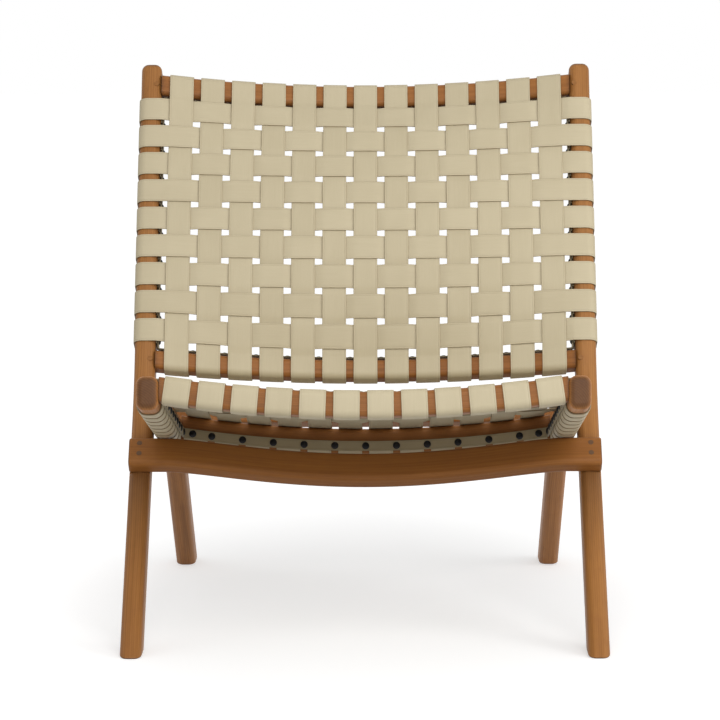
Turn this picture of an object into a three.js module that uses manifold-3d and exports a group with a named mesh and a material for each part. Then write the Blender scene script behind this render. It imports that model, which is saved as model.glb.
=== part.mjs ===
// A folding lounge chair: a bent back frame and a bent seat frame cross at one pivot line,
// and each frame holds a panel woven from flat leather straps.
// Millimetres, +Z up, the sitter faces -Y, X runs across the chair.
import * as THREE from "three";
import { mergeVertices } from "three/addons/utils/BufferGeometryUtils.js";
import Module from "manifold-3d";

const wasm = await Module();
wasm.setup();

const degree = Math.PI / 180;

// Frame bars, seen from the side. Lengths follow the middle line of a bar.
const overallWidth = 620;
const postWidth = 28;
const seatBarWidth = 27.5;
const sideGap = 4.5;
const postDepth = 42;
const seatBarDepth = 42;
const barEdgeRadius = 10;
const postTopRadius = 8;
const seatBarEndRadius = 5;
const footRadius = 4;
const frontLegLength = 395.5;
const backLength = 487;
const frontLegAngle = 47 * degree;
const backAngle = 63 * degree;
const postBendRadius = 350;
const pivotBelowBend = 41.5;
const seatLength = 490;
const seatAngle = -14.4 * degree;
const rearLegAngle = -39.3 * degree;
const seatBendRadius = 200;

// Cross rails. Depth is measured through the panel and height along it.
const lowerRailHeight = 26;
const lowerRailAlongBack = 51.5;
const topRailHeight = 30;
const topRailBelowEnd = 32;
const backRailDepth = 28;
const backBow = 40;
const seatFrontRailHeight = 30;
const seatFrontRailDepth = 31;
const seatRearRailHeight = 30;
const seatRearRailDepth = 35;
const frontRailSetback = 5;
const rearRailBeforeBend = 44;
const seatBow = 19;
const railEdgeRadius = 7;
const jointGap = 0.3;

// Straight and bowed cross bars that are let into the faces of the legs.
const apronHeight = 42.5;
const apronDepth = 26;
const apronBow = 37;
const apronFlatEnd = 24;
const apronBowPower = 1.4;
const apronEdgeRadius = 7;
const stretcherHeight = 26;
const stretcherDepth = 18;
const stretcherEdgeRadius = 4;
const stretcherPastBend = 5;
const apronHousingDepth = 5;
const stretcherHousingDepth = 1.5;

// Tenons, and the plugs over their pins.
const tenonLength = 18;
const tenonHeight = 18;
const tenonDepth = 12;
const plugDiameter = 7;
const plugRise = 0.4;
const plugSink = 2;
const plugInset = 6.5;
const apronPlugSpacing = 16;
const apronPlugAboveCentre = 2.5;

// Leather.
const strapWidth = 32.2;
const strapThickness = 1.8;
const leatherGap = 0.35;
const crossingReach = 0.4;
const backWarps = 13;
const backWefts = 9;
const backSideMargin = 11.9;
const backLowerMargin = 11.5;
const backUpperMargin = 7.7;
const seatWarps = 12;
const seatWefts = 9;
const seatSideMargin = 4.3;
const seatFrontMargin = 11.5;
const seatRearMargin = 32;
const middleBowShare = 0.2;
const coverStripWidth = 13.4;
const coverStripThickness = 1.8;
const backStripBelowFace = 13;
const seatStripBelowFace = 24;
const studDiameter = 10;
const studCrownDiameter = 6;
const studHeight = 2.6;
const studSink = 0.6;
const endStudInset = 16;

// Pivot hardware.
const boltDiameter = 6;
const boltHeadDiameter = 16;
const boltHeadHeight = 4;
const boltHeadSunk = 1;
const boltReach = 20;
const sleeveDiameter = 8.4;
const turningGap = 0.3;

// Steps of the round stretches.
const bendSteps = 6;
const railSteps = 14;
const roundSides = 12;
const studSides = 6;
const plugSides = 10;

// Places across the chair.
const postOuter = overallWidth / 2;
const postInner = postOuter - postWidth;
const seatBarOuter = postInner - sideGap;
const seatBarInner = seatBarOuter - seatBarWidth;
const postFace = postDepth / 2;
const seatBarFace = seatBarDepth / 2;

// Directions in the side plane, written as y and z.
const along = (angle) => new THREE.Vector2(Math.cos(angle), Math.sin(angle));
const outward = (angle) => new THREE.Vector2(-Math.sin(angle), Math.cos(angle));
const step = (from, angle, distance) => from.clone().addScaledVector(along(angle), distance);

// The frame of a panel or a leg: x across, y along the member, z out of its face.
const frameAt = (point, angle) =>
  new THREE.Matrix4().makeRotationX(angle).setPosition(0, point.x, point.y);

// A closed skin over rings of points. Each ring runs clockwise, seen along the rings' direction.
function loft(rings, closed = false) {
  const sides = rings[0].length;
  const spans = closed ? rings.length : rings.length - 1;
  const faces = [];
  for (let ring = 0; ring < spans; ring++) {
    const near = ring * sides;
    const far = ((ring + 1) % rings.length) * sides;
    for (let side = 0; side < sides; side++) {
      const turn = (side + 1) % sides;
      faces.push(near + side, near + turn, far + turn, near + side, far + turn, far + side);
    }
  }
  if (!closed) {
    const last = (rings.length - 1) * sides;
    for (let side = 1; side < sides - 1; side++) {
      faces.push(0, side + 1, side, last, last + side, last + side + 1);
    }
  }
  const geometry = new THREE.BufferGeometry();
  const values = rings.flat().flatMap((point) => point.toArray());
  geometry.setAttribute("position", new THREE.Float32BufferAttribute(values, 3));
  geometry.setIndex(faces);
  return geometry;
}

// A rounded rectangle as a clockwise ring of points, three to a corner.
function section(width, height, radius) {
  const ring = [];
  for (let corner = 0; corner < 4; corner++) {
    const right = corner < 2 ? 1 : -1;
    const top = corner % 3 === 0 ? 1 : -1;
    const centre = new THREE.Vector2(right * (width / 2 - radius), top * (height / 2 - radius));
    for (let part = 0; part < 3; part++) {
      const angle = Math.PI / 2 - (corner * 2 + part) * (Math.PI / 4);
      ring.push(step(centre, angle, radius));
    }
  }
  return ring;
}

// Joining and cutting.
function solidOf(geometry) {
  const bare = geometry.clone();
  bare.deleteAttribute("normal");
  bare.deleteAttribute("uv");
  const merged = mergeVertices(bare, 1e-4);
  return new wasm.Manifold(
    new wasm.Mesh({
      numProp: 3,
      vertProperties: merged.attributes.position.array,
      triVerts: new Uint32Array(merged.index.array),
    }),
  );
}

function geometryOf(solid) {
  const mesh = solid.getMesh();
  const geometry = new THREE.BufferGeometry();
  geometry.setAttribute("position", new THREE.BufferAttribute(mesh.vertProperties, 3));
  geometry.setIndex(new THREE.BufferAttribute(mesh.triVerts, 1));
  return geometry;
}

const join = (base, pieces) =>
  geometryOf(pieces.reduce((solid, piece) => solid.add(solidOf(piece)), solidOf(base)));
const cut = (base, pieces) =>
  geometryOf(pieces.reduce((solid, piece) => solid.subtract(solidOf(piece)), solidOf(base)));

// A box between two corners, given in a panel's or a leg's frame.
function box(low, high) {
  const size = high.clone().sub(low);
  const centre = low.clone().add(high).divideScalar(2);
  return new THREE.BoxGeometry(size.x, size.y, size.z).translate(...centre.toArray());
}

// A round pin along x, between two places on x.
function pinAcross(from, to, diameter, sides = roundSides) {
  const pin = new THREE.CylinderGeometry(diameter / 2, diameter / 2, Math.abs(to - from), sides);
  return pin.rotateZ(Math.PI / 2).translate((from + to) / 2, 0, 0);
}

// A bar that runs straight, bends once and runs straight again.
// Its foot is cut level with the floor, and its other end square, both with eased edges.
const easing = [
  [0, 1],
  [0.3, 0.3],
  [1, 0],
];

function bentBar(centreX, width, depth, corner, start, end, bendRadius) {
  const turn = end.angle - start.angle;
  const reach = bendRadius * Math.tan(Math.abs(turn) / 2);
  const bendStart = step(corner, start.angle, -reach);
  const stations = easing.map(([move, inset]) => ({
    at: step(corner, start.angle, move * start.radius - start.length),
    angle: start.angle,
    inset: inset * start.radius,
    floor: start.onFloor ? move * start.radius : undefined,
  }));
  const bendCentre = bendStart
    .clone()
    .addScaledVector(outward(start.angle), Math.sign(turn) * bendRadius);
  for (let part = 0; part <= bendSteps; part++) {
    const angle = start.angle + (turn * part) / bendSteps;
    const at = bendCentre.clone().addScaledVector(outward(angle), -Math.sign(turn) * bendRadius);
    stations.push({ at, angle, inset: 0 });
  }
  for (const [move, inset] of easing.toReversed()) {
    stations.push({
      at: step(corner, end.angle, end.length - move * end.radius),
      angle: end.angle,
      inset: inset * end.radius,
      floor: end.onFloor ? move * end.radius : undefined,
    });
  }
  const rings = stations.map(({ at, angle, inset, floor }) => {
    const outline = section(width - 2 * inset, depth - 2 * inset, barEdgeRadius - inset);
    return outline.map((point) => {
      let place = at.clone().addScaledVector(outward(angle), point.y);
      if (floor !== undefined) place = step(place, angle, (floor - place.y) / Math.sin(angle));
      return new THREE.Vector3(centreX + point.x, place.x, place.y);
    });
  });
  return loft(rings);
}

// How far a bowed rail lies behind the straight line between its ends, and its slope.
function arcBow(halfSpan, bow) {
  const radius = (halfSpan ** 2 + bow ** 2) / (2 * bow);
  return {
    drop: (x) => Math.sqrt(radius ** 2 - x ** 2) - (radius - bow),
    slope: (x) => -x / Math.sqrt(radius ** 2 - x ** 2),
  };
}

// A cross rail in its panel's frame. Its face lies at faceLevel where the bow is nil.
function bowedRail(halfLength, centreU, height, faceLevel, depth, radius, drop) {
  const outline = section(height, depth, radius);
  const rings = [];
  for (let part = 0; part <= railSteps; part++) {
    const x = halfLength * ((2 * part) / railSteps - 1);
    const middle = faceLevel - depth / 2 - drop(x);
    rings.push(outline.map(({ x: p, y: q }) => new THREE.Vector3(x, centreU - p, middle + q)));
  }
  return loft(rings);
}

// A tenon that reaches from a rail's end into the post, and the pocket that takes it.
function tenonBox(side, shoulder, centreU, centreN, grow = 0) {
  const root = shoulder - tenonLength / 2;
  const tip = shoulder + tenonLength + grow;
  const low = new THREE.Vector3(
    side > 0 ? root : -tip,
    centreU - tenonHeight / 2 - grow,
    centreN - tenonDepth / 2 - grow,
  );
  const high = new THREE.Vector3(
    side > 0 ? tip : -root,
    centreU + tenonHeight / 2 + grow,
    centreN + tenonDepth / 2 + grow,
  );
  return box(low, high);
}

// A flat strap along a path of points. Each point has the direction across the strap.
function ribbon(path, width, thickness, closed = false) {
  const count = path.length;
  const normals = path.map((station, index) => {
    const next = path[(index + 1) % count];
    const run = next.at.clone().sub(station.at);
    return station.across.clone().add(next.across).cross(run).normalize();
  });
  const rings = path.map(({ at, across }, index) => {
    const isStart = !closed && index === 0;
    const isEnd = !closed && index === count - 1;
    const before = isStart ? normals[index] : normals[(index + count - 1) % count];
    const after = isEnd ? before : normals[index];
    const miter = thickness / 2 / (1 + before.dot(after));
    const lift = before.clone().add(after).multiplyScalar(miter);
    const half = across.clone().setLength(width / 2);
    return [
      at.clone().add(half).add(lift),
      at.clone().add(half).sub(lift),
      at.clone().sub(half).sub(lift),
      at.clone().sub(half).add(lift),
    ];
  });
  return loft(rings, closed);
}

// The middle line of a strap's end as it wraps a member: along the inner face, round the back,
// round the outer face and onto the front. Each pair is a place along the run and a level.
const strapRise = leatherGap + strapThickness / 2;

function wrapAround({ inner, outer, front, depth, radius, endBelowFace }) {
  const away = Math.sign(outer - inner);
  const back = front - depth;
  const corner = radius - (radius + strapRise) * Math.tan(Math.PI / 8);
  return [
    [inner - away * strapRise, front - endBelowFace],
    [inner - away * strapRise, back + corner],
    [inner + away * corner, back - strapRise],
    [outer - away * corner, back - strapRise],
    [outer + away * strapRise, back + corner],
    [outer + away * strapRise, front - corner],
    [outer - away * corner, front + strapRise],
  ];
}

// A woven panel: warps run along the side members and wefts run across.
// The weave sits at the face of the side members, and sinks towards the bowed rails.
function wovenPanel(panel) {
  const { halfSpan, outerSpan, start, end, bow, warps, wefts, sideMargin, warpIsOver } = panel;
  const { drop, slope } = arcBow(halfSpan, bow);
  const length = end.inner - start.inner;
  const warpPitch = (2 * (halfSpan - sideMargin) - strapWidth) / (warps - 1);
  const weftRun = length - panel.startMargin - panel.endMargin - strapWidth;
  const weftPitch = weftRun / (wefts - 1);
  const warpX = (index) => (index - (warps - 1) / 2) * warpPitch;
  const firstWeft = start.inner + panel.startMargin + strapWidth / 2;
  const weftU = (index) => firstWeft + index * weftPitch;

  const spread = (u) => (2 * (u - start.inner)) / length - 1;
  const sinkShare = (u) => middleBowShare + (1 - middleBowShare) * spread(u) ** 2;
  const sinkSlope = (u) => (1 - middleBowShare) * spread(u) * (4 / length);
  const level = panel.face + strapRise;
  const lift = (strapThickness + leatherGap) / 2;
  const halfCrossing = strapWidth / 2 + crossingReach;

  // The flat patch where one warp and one weft cross.
  const crossing = (warp, weft) => {
    const [x, u] = [warpX(warp), weftU(weft)];
    return {
      x,
      u,
      level: level - drop(x) * sinkShare(u),
      slopeX: -slope(x) * sinkShare(u),
      slopeU: -drop(x) * sinkSlope(u),
      warpLift: warpIsOver(warp, weft) ? lift : -lift,
    };
  };

  const warpSolid = (warp) => {
    const x = warpX(warp);
    const sunk = drop(x);
    const railAcross = new THREE.Vector3(1, 0, -slope(x));
    const onRail = ([u, n]) => ({
      at: new THREE.Vector3(x, u, n - sunk),
      across: railAcross,
    });
    const path = wrapAround(start).map(onRail);
    path.push(onRail([start.inner, level]));
    for (let weft = 0; weft < wefts; weft++) {
      const patch = crossing(warp, weft);
      const across = new THREE.Vector3(1, 0, patch.slopeX);
      for (const reach of [-halfCrossing, halfCrossing]) {
        const n = patch.level + patch.slopeU * reach + patch.warpLift;
        path.push({ at: new THREE.Vector3(x, patch.u + reach, n), across });
      }
    }
    path.push(onRail([end.inner, level]));
    path.push(...wrapAround(end).map(onRail).toReversed());
    return ribbon(path, strapWidth, strapThickness);
  };

  const side = {
    inner: halfSpan,
    outer: outerSpan,
    front: panel.face,
    depth: 2 * panel.face,
    radius: barEdgeRadius,
    endBelowFace: panel.strapEndBelowFace,
  };

  const weftSolid = (weft) => {
    const u = weftU(weft);
    const flatAcross = new THREE.Vector3(0, -1, 0);
    const onBar = (sign) => ([x, n]) => ({
      at: new THREE.Vector3(sign * x, u, n),
      across: flatAcross,
    });
    const path = wrapAround(side).map(onBar(-1));
    path.push(onBar(-1)([halfSpan, level]));
    for (let warp = 0; warp < warps; warp++) {
      const patch = crossing(warp, weft);
      const across = new THREE.Vector3(0, -1, -patch.slopeU);
      for (const reach of [-halfCrossing, halfCrossing]) {
        const n = patch.level + patch.slopeX * reach - patch.warpLift;
        path.push({ at: new THREE.Vector3(patch.x + reach, u, n), across });
      }
    }
    path.push(onBar(1)([halfSpan, level]));
    path.push(...wrapAround(side).map(onBar(1)).toReversed());
    return ribbon(path, strapWidth, strapThickness);
  };

  return { warpSolid, weftSolid, warpX, weftU, drop, slope, warpPitch, weftPitch };
}

// The leather strip nailed over the strap ends, once round the inside of a frame, with its nails.
function coverStrip(panel, woven) {
  const { halfSpan, start, end } = panel;
  const off = leatherGap + strapThickness + leatherGap + coverStripThickness / 2;
  const level = panel.face - panel.stripBelowFace;
  const edgeX = halfSpan - off;
  const [lowU, highU] = [start.inner + off, end.inner - off];
  const upright = new THREE.Vector3(0, 0, 1);
  const railRun = (u, direction) => {
    const stations = [];
    for (let part = 0; part <= railSteps; part++) {
      const x = direction * edgeX * ((2 * part) / railSteps - 1);
      const isEnd = part === 0 || part === railSteps;
      const across = isEnd ? upright : new THREE.Vector3(woven.slope(x), 0, 1);
      stations.push({ at: new THREE.Vector3(x, u, level - woven.drop(x)), across });
    }
    return stations;
  };
  const loop = [...railRun(lowU, 1), ...railRun(highU, -1)];
  const strip = ribbon(loop, coverStripWidth, coverStripThickness, true);

  const face = coverStripThickness / 2;
  const studLength = studHeight + studSink;
  const head = new THREE.CylinderGeometry(
    studCrownDiameter / 2,
    studDiameter / 2,
    studLength,
    studSides,
  ).translate(0, face - studSink + studLength / 2, 0);
  const studs = [];
  const gapsBetween = (count, place) =>
    Array.from({ length: count - 1 }, (_, index) => (place(index) + place(index + 1)) / 2);
  const acrossPlaces = [
    endStudInset - halfSpan,
    ...gapsBetween(panel.warps, woven.warpX),
    halfSpan - endStudInset,
  ];
  for (const x of acrossPlaces) {
    const n = level - woven.drop(x);
    studs.push(head.clone().translate(x, lowU, n));
    studs.push(head.clone().rotateX(Math.PI).translate(x, highU, n));
  }
  const sidePlaces = [
    start.inner + endStudInset,
    ...gapsBetween(panel.wefts, woven.weftU),
    end.inner - endStudInset,
  ];
  for (const u of sidePlaces) {
    const n = level - woven.drop(edgeX);
    studs.push(head.clone().rotateZ(-Math.PI / 2).translate(-edgeX, u, n));
    studs.push(head.clone().rotateZ(Math.PI / 2).translate(edgeX, u, n));
  }
  return join(strip, studs);
}

// The back frame's middle line, from the floor to the bend.
const postFoot = new THREE.Vector2(0, 0);
const postCorner = step(postFoot, frontLegAngle, frontLegLength);
const pivotAlongLeg = frontLegLength - pivotBelowBend;
const pivot = step(postFoot, frontLegAngle, pivotAlongLeg);

// The two panels, each in its own frame. The back's starts at the post's bend and runs up,
// the seat's starts at the front ends of its bars and runs to the rear.
const lowerRailInner = lowerRailAlongBack + lowerRailHeight / 2;
const topRailCentre = backLength - topRailBelowEnd;
const topRailInner = topRailCentre - topRailHeight / 2;
const backStrapEnd = backStripBelowFace - coverStripWidth / 4;
const backPanel = {
  face: postFace,
  halfSpan: postInner,
  outerSpan: postOuter,
  bow: backBow,
  warps: backWarps,
  wefts: backWefts,
  sideMargin: backSideMargin,
  startMargin: backLowerMargin,
  endMargin: backUpperMargin,
  stripBelowFace: backStripBelowFace,
  strapEndBelowFace: backStrapEnd,
  warpIsOver: (warp, weft) => (warp + (backWefts - 1 - weft)) % 2 === 0,
  start: {
    inner: lowerRailInner,
    outer: lowerRailInner - lowerRailHeight,
    front: postFace,
    depth: backRailDepth,
    radius: railEdgeRadius,
    endBelowFace: backStrapEnd,
  },
  end: {
    inner: topRailInner,
    outer: topRailInner + topRailHeight,
    front: postFace,
    depth: backRailDepth,
    radius: railEdgeRadius,
    endBelowFace: backStrapEnd,
  },
};

const frontRailInner = frontRailSetback + seatFrontRailHeight;
const rearRailInner = seatLength - rearRailBeforeBend;
const seatStrapEnd = seatStripBelowFace - coverStripWidth / 4;
const seatPanel = {
  face: seatBarFace,
  halfSpan: seatBarInner,
  outerSpan: seatBarOuter,
  bow: seatBow,
  warps: seatWarps,
  wefts: seatWefts,
  sideMargin: seatSideMargin,
  startMargin: seatFrontMargin,
  endMargin: seatRearMargin,
  stripBelowFace: seatStripBelowFace,
  strapEndBelowFace: seatStrapEnd,
  warpIsOver: (warp, weft) => (warp + weft) % 2 === 1,
  start: {
    inner: frontRailInner,
    outer: frontRailSetback,
    front: seatBarFace,
    depth: seatFrontRailDepth,
    radius: railEdgeRadius,
    endBelowFace: seatStrapEnd,
  },
  end: {
    inner: rearRailInner,
    outer: rearRailInner + seatRearRailHeight,
    front: seatBarFace,
    depth: seatRearRailDepth,
    radius: railEdgeRadius,
    endBelowFace: seatStrapEnd,
  },
};

const backWeave = wovenPanel(backPanel);
const seatWeave = wovenPanel(seatPanel);

// The pivot passes between the last two wefts of the seat.
const pivotAlongSeat = (seatWeave.weftU(seatWefts - 2) + seatWeave.weftU(seatWefts - 1)) / 2;
const seatFrontEnd = step(pivot, seatAngle, -pivotAlongSeat);
const seatCorner = step(seatFrontEnd, seatAngle, seatLength);
const rearLegLength = -seatCorner.y / Math.sin(rearLegAngle);

const backFrame = frameAt(postCorner, backAngle);
const seatFrame = frameAt(seatFrontEnd, seatAngle);
const legFrame = frameAt(pivot, frontLegAngle);

// The apron stops the seat bars: their leather rests on its upper front edge.
const apronBack = postFace - apronHousingDepth;
const apronFront = apronBack + apronDepth;
const restGap = leatherGap;
const leatherBelowBar = seatBarFace + leatherGap + strapThickness;
const stopAngle = frontLegAngle - seatAngle;
const stopLevel = -leatherBelowBar - apronEdgeRadius - restGap;
const stopForward = (apronFront - apronEdgeRadius) * Math.cos(stopAngle);
const apronTop = (stopLevel - stopForward) / Math.sin(stopAngle) + apronEdgeRadius;
const apronCentre = apronTop - apronHeight / 2;
const apronHalfSpan = postInner - apronFlatEnd;
const apronDrop = (x) =>
  apronBow * Math.max(0, 1 - (x / apronHalfSpan) ** 2) ** apronBowPower;

const apronPlugs = [-1, 1].flatMap((side) =>
  [-1, 1].map((end) =>
    new THREE.CylinderGeometry(
      plugDiameter / 2,
      plugDiameter / 2,
      plugSink + plugRise,
      plugSides,
    )
      .rotateX(Math.PI / 2)
      .translate(
        side * (postOuter - postWidth / 2),
        apronCentre + apronPlugAboveCentre + (end * apronPlugSpacing) / 2,
        apronFront + (plugRise - plugSink) / 2,
      ),
  ),
);
const apron = join(
  bowedRail(
    postOuter,
    apronCentre,
    apronHeight,
    apronFront,
    apronDepth,
    apronEdgeRadius,
    apronDrop,
  ),
  apronPlugs,
);

// The rear stretcher lies across the seat bars, just behind the leather of the rear rail.
const seatTurn = rearLegAngle - seatAngle;
const seatBendReach = seatBendRadius * Math.tan(Math.abs(seatTurn) / 2);
const stretcherTurn = -(stretcherPastBend + seatBendReach) / seatBendRadius;
const seatBendCentre = step(seatCorner, seatAngle, -seatBendReach).addScaledVector(
  outward(seatAngle),
  -seatBendRadius,
);
const stretcherAngle = seatAngle + stretcherTurn;
const stretcherPoint = seatBendCentre
  .clone()
  .addScaledVector(outward(stretcherAngle), seatBendRadius);
const stretcherFrame = frameAt(stretcherPoint, stretcherAngle);
const stretcherBottom = seatBarFace - stretcherHousingDepth;
const stretcher = (() => {
  const outline = section(stretcherHeight, stretcherDepth, stretcherEdgeRadius);
  const centre = stretcherBottom + stretcherDepth / 2;
  const rings = [-seatBarOuter, seatBarOuter].map((x) =>
    outline.map(({ x: p, y: q }) => new THREE.Vector3(x, -p, centre + q)),
  );
  return loft(rings);
})();

// Rails with their tenons.
function tenonedRail(halfSpan, rail, height, drop) {
  const { front, depth } = rail;
  const centreU = (rail.inner + rail.outer) / 2;
  const shoulder = halfSpan - jointGap;
  const centreN = front - depth / 2;
  const body = bowedRail(shoulder, centreU, height, front, depth, railEdgeRadius, drop);
  const tenons = [-1, 1].map((side) => tenonBox(side, shoulder, centreU, centreN));
  return join(body, tenons);
}

const topRail = tenonedRail(
  postInner,
  backPanel.end,
  topRailHeight,
  backWeave.drop,
);
const lowerRail = tenonedRail(
  postInner,
  backPanel.start,
  lowerRailHeight,
  backWeave.drop,
);
const seatFrontRail = tenonedRail(
  seatBarInner,
  seatPanel.start,
  seatFrontRailHeight,
  seatWeave.drop,
);
const seatRearRail = tenonedRail(
  seatBarInner,
  seatPanel.end,
  seatRearRailHeight,
  seatWeave.drop,
);

// The pocket for a rail's tenon, in the chair's frame.
function pocket(side, halfSpan, rail, frame) {
  const centreU = (rail.inner + rail.outer) / 2;
  const centreN = rail.front - rail.depth / 2;
  const shoulder = halfSpan - jointGap;
  return tenonBox(side, shoulder, centreU, centreN, jointGap).applyMatrix4(frame);
}

// Pivot hardware on one side: a bolt from outside, and a sleeve that keeps the bars apart.
function pivotHardware(side) {
  const headOuter = side * (postOuter - boltHeadSunk);
  const headInner = headOuter - side * boltHeadHeight;
  const tip = side * (seatBarOuter - boltReach);
  const head = pinAcross(headOuter, headInner, boltHeadDiameter);
  const shank = pinAcross(headInner + (side * boltHeadHeight) / 2, tip, boltDiameter);
  const boreDiameter = boltDiameter + 2 * turningGap;
  const boreEnd = tip - side * turningGap;
  const bore = pinAcross(side * (postOuter + postDepth), boreEnd, boreDiameter);
  const recess = pinAcross(
    headInner - side * turningGap,
    side * (postOuter + postDepth),
    boltHeadDiameter + 2 * turningGap,
  );
  const sleeveOuter = side * (postInner - turningGap);
  const sleeveInner = side * (seatBarOuter + turningGap);
  const place = (piece) => piece.translate(0, pivot.x, pivot.y);
  const sleeveBlank = pinAcross(sleeveOuter, sleeveInner, sleeveDiameter);
  const sleeveRoom = pinAcross(sleeveOuter, sleeveInner, sleeveDiameter + 2 * turningGap);
  return {
    bolt: place(join(shank, [head])),
    sleeve: place(cut(sleeveBlank, [bore.clone()])),
    bore: place(bore),
    recess: place(recess),
    sleeveRoom: place(sleeveRoom),
  };
}

const hardware = { left: pivotHardware(-1), right: pivotHardware(1) };

// A bent post: the front leg below and the side of the back above.
function post(side, pieces) {
  const bar = bentBar(
    side * (postOuter - postWidth / 2),
    postWidth,
    postDepth,
    postCorner,
    { angle: frontLegAngle, length: frontLegLength, radius: footRadius, onFloor: true },
    { angle: backAngle, length: backLength, radius: postTopRadius },
    postBendRadius,
  );
  const plugs = [backPanel.start, backPanel.end].map((rail) =>
    new THREE.CylinderGeometry(
      plugDiameter / 2,
      plugDiameter / 2,
      plugSink + plugRise,
      plugSides,
    )
      .rotateX(Math.PI / 2)
      .translate(
        side * (postInner + plugInset),
        (rail.inner + rail.outer) / 2,
        postFace + (plugRise - plugSink) / 2,
      )
      .applyMatrix4(backFrame),
  );
  const housing = box(
    new THREE.Vector3(
      -postOuter - postDepth,
      apronCentre - apronHeight / 2 - jointGap,
      apronBack - jointGap,
    ),
    new THREE.Vector3(
      postOuter + postDepth,
      apronCentre + apronHeight / 2 + jointGap,
      apronFront + postDepth,
    ),
  ).applyMatrix4(legFrame);
  const pockets = [backPanel.start, backPanel.end].map((rail) =>
    pocket(side, postInner, rail, backFrame),
  );
  return cut(join(bar, plugs), [housing, ...pockets, pieces.bore, pieces.recess]);
}

// A bent seat bar: the side of the seat in front and the rear leg behind.
function seatBar(side, pieces) {
  const bar = bentBar(
    side * (seatBarOuter - seatBarWidth / 2),
    seatBarWidth,
    seatBarDepth,
    seatCorner,
    { angle: seatAngle, length: seatLength, radius: seatBarEndRadius },
    { angle: rearLegAngle, length: rearLegLength, radius: footRadius, onFloor: true },
    seatBendRadius,
  );
  const housing = box(
    new THREE.Vector3(
      -seatBarOuter - seatBarDepth,
      -stretcherHeight / 2 - jointGap,
      stretcherBottom - jointGap,
    ),
    new THREE.Vector3(
      seatBarOuter + seatBarDepth,
      stretcherHeight / 2 + jointGap,
      stretcherBottom + stretcherDepth + seatBarDepth,
    ),
  ).applyMatrix4(stretcherFrame);
  const pockets = [seatPanel.start, seatPanel.end].map((rail) =>
    pocket(side, seatBarInner, rail, seatFrame),
  );
  return cut(bar, [housing, ...pockets, pieces.bore]);
}

// Materials.
const wood = () =>
  new THREE.MeshStandardMaterial({ color: 0x9c6437, roughness: 0.55, metalness: 0 });
const leather = () =>
  new THREE.MeshStandardMaterial({ color: 0xcbc0a2, roughness: 0.75, metalness: 0 });
const stripLeather = () =>
  new THREE.MeshStandardMaterial({ color: 0xb3a27c, roughness: 0.8, metalness: 0 });
const steel = () =>
  new THREE.MeshStandardMaterial({ color: 0x8d8f90, roughness: 0.35, metalness: 1 });

const chair = new THREE.Group();
const fixed = new THREE.Group();
const backGroup = new THREE.Group();
const seatGroup = new THREE.Group();
const legGroup = new THREE.Group();
const stretcherGroup = new THREE.Group();
chair.add(fixed);
fixed.add(backGroup, seatGroup, legGroup, stretcherGroup);
backGroup.applyMatrix4(backFrame);
seatGroup.applyMatrix4(seatFrame);
legGroup.applyMatrix4(legFrame);
stretcherGroup.applyMatrix4(stretcherFrame);

function add(group, name, geometry, material) {
  const mesh = new THREE.Mesh(geometry, material);
  mesh.name = name;
  group.add(mesh);
}

const numbered = (name, index) => `${name}_${String(index + 1).padStart(2, "0")}`;

add(fixed, "left_post", post(-1, hardware.left), wood());
add(fixed, "right_post", post(1, hardware.right), wood());
add(backGroup, "back_top_rail", topRail, wood());
add(backGroup, "back_lower_rail", lowerRail, wood());
add(legGroup, "front_apron", apron, wood());
for (let warp = 0; warp < backWarps; warp++) {
  add(backGroup, numbered("back_warp_strap", warp), backWeave.warpSolid(warp), leather());
}
for (let weft = 0; weft < backWefts; weft++) {
  add(backGroup, numbered("back_weft_strap", weft), backWeave.weftSolid(weft), leather());
}
add(backGroup, "back_cover_strip", coverStrip(backPanel, backWeave), stripLeather());

add(fixed, "left_seat_bar", seatBar(-1, hardware.left), wood());
add(fixed, "right_seat_bar", seatBar(1, hardware.right), wood());
add(seatGroup, "seat_front_rail", seatFrontRail, wood());
add(seatGroup, "seat_rear_rail", seatRearRail, wood());
add(stretcherGroup, "rear_stretcher", stretcher, wood());
for (let warp = 0; warp < seatWarps; warp++) {
  add(seatGroup, numbered("seat_warp_strap", warp), seatWeave.warpSolid(warp), leather());
}
// The two wefts beside the pivot make room for its sleeves where they are wide enough to meet.
const sleeveRooms = [hardware.left.sleeveRoom, hardware.right.sleeveRoom].map((room) =>
  room.applyMatrix4(seatFrame.clone().invert()),
);
for (let weft = 0; weft < seatWefts; weft++) {
  const strap = seatWeave.weftSolid(weft);
  const besidePivot = weft >= seatWefts - 2;
  const shape = besidePivot ? cut(strap, sleeveRooms) : strap;
  add(seatGroup, numbered("seat_weft_strap", weft), shape, leather());
}
add(seatGroup, "seat_cover_strip", coverStrip(seatPanel, seatWeave), stripLeather());
for (const [name, pieces] of Object.entries(hardware)) {
  add(fixed, `${name}_pivot_bolt`, pieces.bolt, steel());
  add(fixed, `${name}_pivot_sleeve`, pieces.sleeve, steel());
}

// The chair stands on z = 0, with the middle of its outline over the origin.
chair.updateMatrixWorld(true);
const outline = new THREE.Box3().setFromObject(chair, true);
const centre = outline.getCenter(new THREE.Vector3());
fixed.position.set(-centre.x, -centre.y, -outline.min.z);

export default chair;
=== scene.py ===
# A low folding lounge chair: two bent frames of oiled hardwood cross at a pivot line, and back and
# seat are each woven from flat straps of pale leather. Metres, +Z up, the sitter faces -Y.
import math
from types import SimpleNamespace

import bmesh
import bpy
from mathutils import Matrix, Vector


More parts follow.
